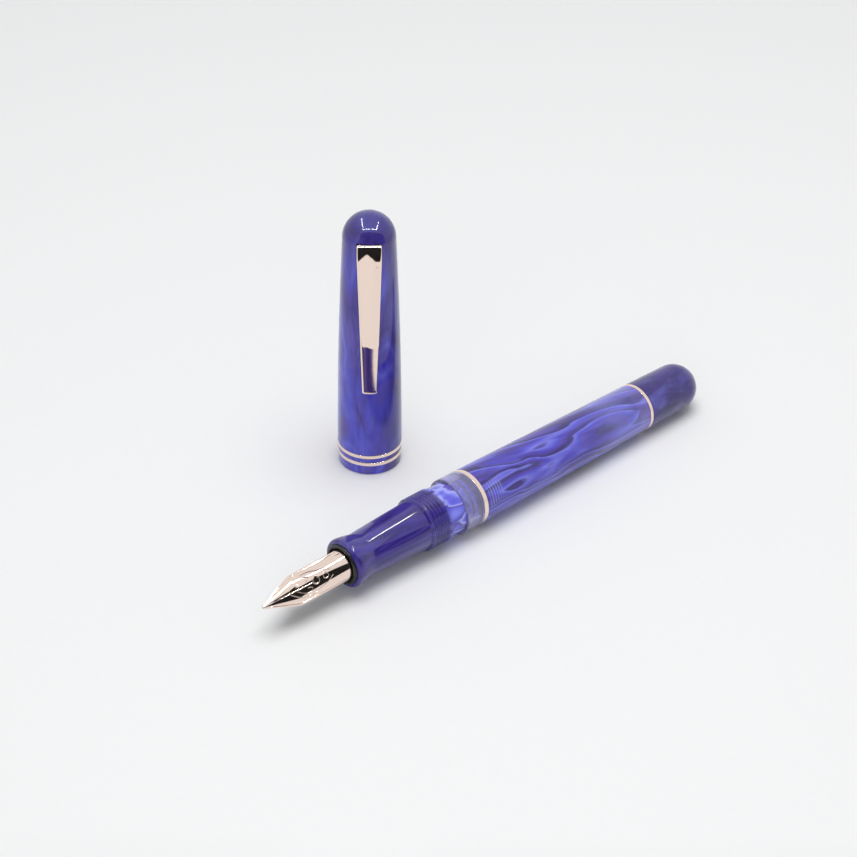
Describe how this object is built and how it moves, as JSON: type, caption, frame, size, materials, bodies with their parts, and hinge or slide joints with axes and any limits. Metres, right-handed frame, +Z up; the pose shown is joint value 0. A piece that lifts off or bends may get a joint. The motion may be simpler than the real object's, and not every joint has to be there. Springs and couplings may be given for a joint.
{
  "type": "fountain pen",
  "caption": "Piston-filling fountain pen in marbled resin with rose-gold trim, lying uncapped beside its upright clip cap.",
  "frame": {"origin": "centre of the whole set's footprint, on the surface that it stands on", "axes": "+X along the pen from the nib to the turning knob, +Y from the pen to the standing cap, +Z up"},
  "size_m": [0.1302, 0.0462, 0.064],
  "materials": {
    "barrel_resin": "polished marbled resin, periwinkle and indigo",
    "section_resin": "polished marbled resin, darker indigo",
    "knob_resin": "polished marbled resin, dark greyish indigo",
    "cap_resin": "polished marbled resin, violet blue",
    "clear_acrylic": "clear polished acrylic",
    "rose_gold": "polished rose-gold plate",
    "steel": "bright",
    "black_plastic": "satin black",
    "brass": "turned",
    "rubber": "smooth"
  },
  "bodies": {
    "pen_body": {"barrel": "barrel_resin", "rear_trim_ring": "rose_gold", "front_trim_ring": "rose_gold", "ink_window": "clear_acrylic", "window_o_ring": "rubber", "grip_section": "section_resin", "piston_guide": "brass", "guide_o_ring": "rubber", "retaining_clip": "steel"},
    "nib_unit": {"nib_housing": "black_plastic", "housing_o_ring": "rubber", "nib": "rose_gold", "nib_tipping": "steel", "feed": "black_plastic"},
    "knob": {"turning_knob": "knob_resin", "knob_bushing": "brass", "spindle": "brass"},
    "piston": {"piston_rod": "black_plastic", "piston_head": "black_plastic", "front_piston_seal": "rubber", "rear_piston_seal": "rubber"},
    "cap": {"cap_shell": "cap_resin", "inner_cap": "black_plastic", "upper_cap_band": "rose_gold", "lower_cap_band": "rose_gold", "clip_root": "rose_gold", "clip_screw": "steel"},
    "clip": {"clip_blade": "rose_gold"}
  },
  "joints": [
    {"name": "cap_lift", "type": "slide", "parent": "pen_body", "child": "cap", "axis": [0, 0, 1], "range_m": [0, 0.07]},
    {"name": "clip_flex", "type": "hinge", "parent": "cap", "child": "clip", "pos_m": [-0.00943, 0.01176, 0.05943], "axis": [-0.749, 0.6626, 0], "range_deg": [0, 5], "stiffness_Nm_per_rad": 0.5},
    {"name": "knob_turn", "type": "hinge", "parent": "pen_body", "child": "knob", "pos_m": [0.05414, -0.0166, 0.00566], "axis": [0.9999, 0, -0.014], "range_deg": [0, 1080]},
    {"name": "piston_slide", "type": "slide", "parent": "pen_body", "child": "piston", "axis": [-0.9999, 0, 0.014], "range_m": [0, 0.02]},
    {"name": "nib_unit_pull", "type": "slide", "parent": "pen_body", "child": "nib_unit", "axis": [-0.9999, 0, 0.014], "range_m": [0, 0.025]}
  ],
  "couplings": [
    {"joint": "knob_turn", "follows": "piston_slide", "rad_per_m": 942.4}
  ]
}
